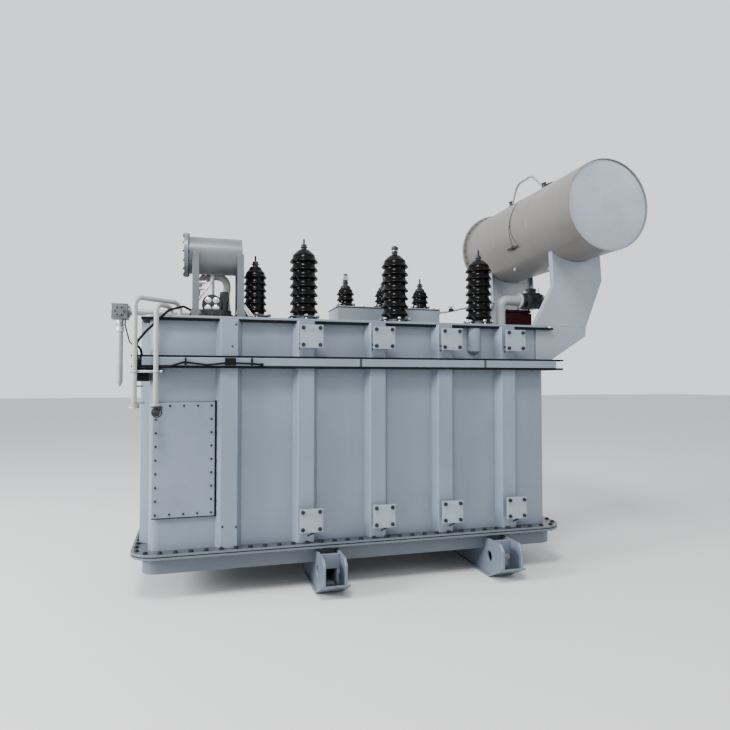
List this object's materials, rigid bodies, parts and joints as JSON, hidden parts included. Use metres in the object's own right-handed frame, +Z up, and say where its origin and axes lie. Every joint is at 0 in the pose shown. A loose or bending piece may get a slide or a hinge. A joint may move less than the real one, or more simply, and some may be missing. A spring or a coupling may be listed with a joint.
{
  "type": "oil-filled power transformer",
  "caption": "Oil-filled power transformer on skids: stiffened steel tank, black bushings on the cover, large oil conservator at one end and a small one for the tap changer.",
  "frame": {"origin": "on the ground under the middle of the tank", "axes": "+Z up, +X along the tank towards the main conservator, -Y is the side with the bushing row and the hatch"},
  "size_m": [4.286, 1.975, 3.611],
  "materials": {
    "tank_grey": "semi-gloss paint",
    "blank_grey": "semi-gloss paint",
    "skid_grey": "semi-gloss paint",
    "gasket_rubber": "matt",
    "core_mass": "plain",
    "glazed_black": "glazed",
    "fitting_metal": "dark",
    "drum_grey": "semi-gloss paint",
    "drum_end_grey": "gloss paint",
    "trestle_grey": "semi-gloss paint",
    "relay_red": "semi-gloss paint",
    "pipe_grey": "semi-gloss paint",
    "pot_grey": "semi-gloss paint",
    "changer_dark": "dark paint",
    "box_black": "matt",
    "hose_grey": "matt",
    "cable_black": "satin"
  },
  "bodies": {
    "root": {"base_tray": "tank_grey", "bell_flange": "tank_grey", "front_wall": "tank_grey", "rear_wall": "tank_grey", "left_end_wall": "tank_grey", "right_end_wall": "tank_grey", "cover": "tank_grey", "tank_belt": "tank_grey", "front_stiffeners": "tank_grey", "rear_stiffeners": "tank_grey", "end_stiffeners": "tank_grey", "hatch_panel": "tank_grey", "turret_box": "tank_grey", "radiator_stubs": "tank_grey", "radiator_blanks": "blank_grey", "skid_left_plates": "skid_grey", "skid_right_plates": "skid_grey", "skid_soles": "skid_grey", "base_beams": "skid_grey", "flange_gasket": "gasket_rubber", "core_and_oil": "core_mass", "hv_bushing_1": "glazed_black", "hv_bushing_2": "glazed_black", "hv_bushing_3": "glazed_black", "neutral_bushing": "glazed_black", "lv_bushings": "glazed_black", "bushing_feet": "fitting_metal", "bushing_terminals": "fitting_metal", "conservator_shell": "drum_grey", "conservator_far_end": "drum_grey", "conservator_near_end": "drum_end_grey", "conservator_support_front": "trestle_grey", "conservator_support_rear": "trestle_grey", "relief_housing": "relay_red", "relay_pipes": "pipe_grey", "pot_pipe": "pipe_grey", "drive_shafts": "pipe_grey", "oil_pipes": "pipe_grey", "drum_hose": "hose_grey", "control_cables": "cable_black", "pot_shell": "pot_grey", "pot_end_flange": "pot_grey", "pot_legs": "pot_grey", "bevel_gear_box": "pot_grey", "changer_head": "changer_dark", "drain_valve": "changer_dark", "gas_relay": "changer_dark", "junction_box": "box_black"}
  },
  "joints": []
}
